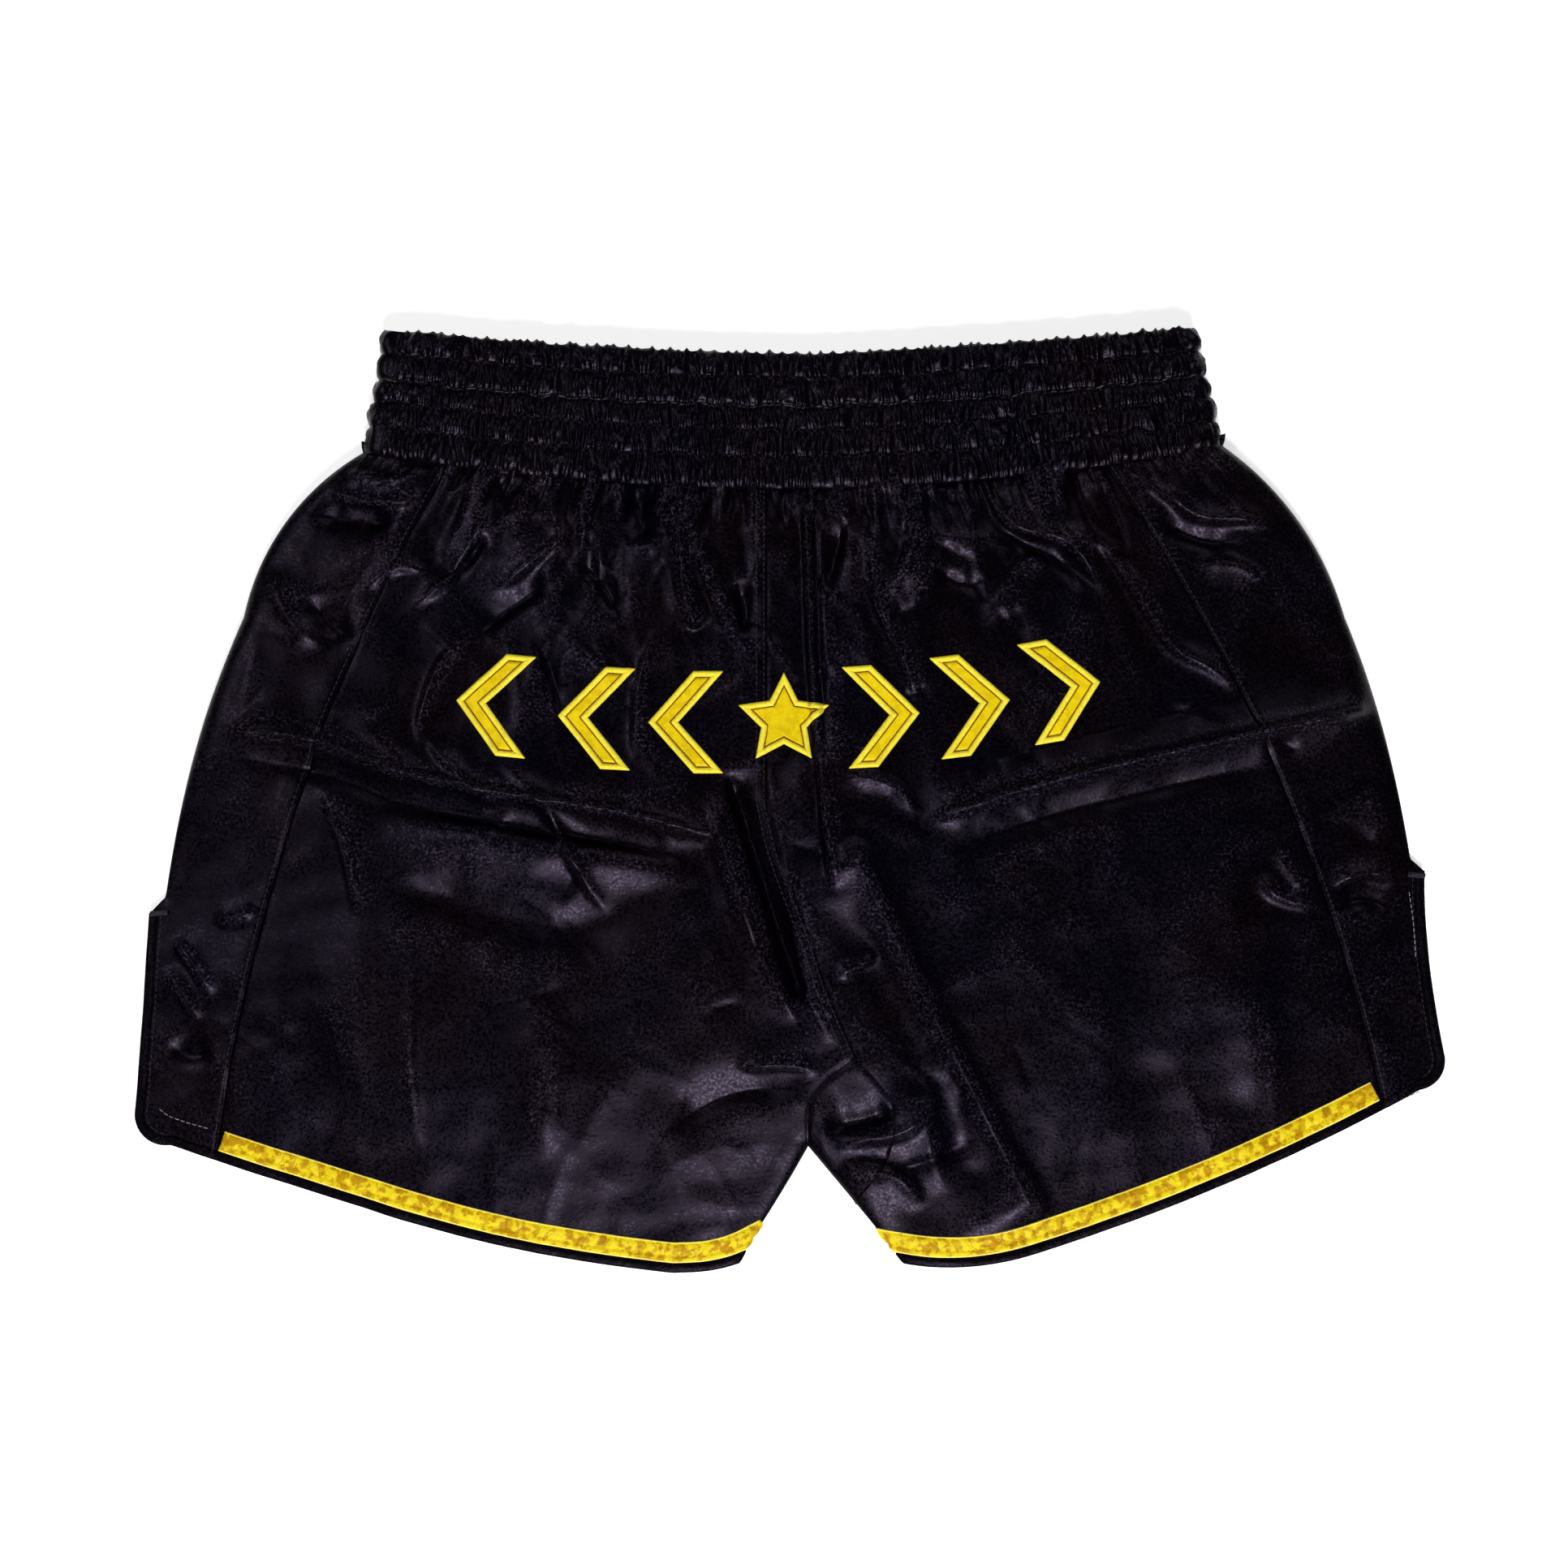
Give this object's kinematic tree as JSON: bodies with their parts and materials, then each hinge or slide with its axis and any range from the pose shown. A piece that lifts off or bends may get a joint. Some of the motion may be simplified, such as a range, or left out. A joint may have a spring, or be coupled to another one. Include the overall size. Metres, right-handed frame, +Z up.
{
  "type": "boxing shorts",
  "caption": "Black satin boxing shorts with a shirred elastic waistband, yellow hem ribbon, side vents and appliqué emblem, lying flat back upwards.",
  "frame": {"origin": "middle of the outline's bounding box, on the surface that the shorts lie on", "axes": "+X to the wearer's right, +Y towards the waist, +Z up out of the back layer"},
  "size_m": [0.5838, 0.4211, 0.016],
  "materials": {
    "body_satin": "satin",
    "waistband_satin": "satin",
    "elastic": "matte",
    "binding": "satin",
    "ribbon": "satin",
    "bartack_thread": "matte",
    "patch_satin": "satin",
    "border_thread": "satin"
  },
  "bodies": {
    "left_half": {"back_panel_left": "body_satin", "front_panel_left": "body_satin", "side_panel_left": "body_satin", "waistband_casing_left": "waistband_satin", "waist_elastic_left": "elastic", "leg_binding_left": "binding", "hem_ribbon_left": "ribbon", "vent_bartack_left": "bartack_thread", "patch_chevron_left_outer": "patch_satin", "border_chevron_left_outer": "border_thread", "patch_chevron_left_middle": "patch_satin", "border_chevron_left_middle": "border_thread", "patch_chevron_left_inner": "patch_satin", "border_chevron_left_inner": "border_thread", "patch_star": "patch_satin", "border_star": "border_thread"},
    "right_half": {"back_panel_right": "body_satin", "front_panel_right": "body_satin", "side_panel_right": "body_satin", "waistband_casing_right": "waistband_satin", "waist_elastic_right": "elastic", "leg_binding_right": "binding", "hem_ribbon_right": "ribbon", "vent_bartack_right": "bartack_thread", "crotch_gusset": "body_satin", "patch_chevron_right_inner": "patch_satin", "border_chevron_right_inner": "border_thread", "patch_chevron_right_middle": "patch_satin", "border_chevron_right_middle": "border_thread", "patch_chevron_right_outer": "patch_satin", "border_chevron_right_outer": "border_thread"}
  },
  "joints": [
    {"name": "half_fold", "type": "hinge", "parent": "right_half", "child": "left_half", "pos_m": [0.02, 0, 0.0165], "axis": [0, 1, 0], "range_deg": [0, 180]}
  ]
}
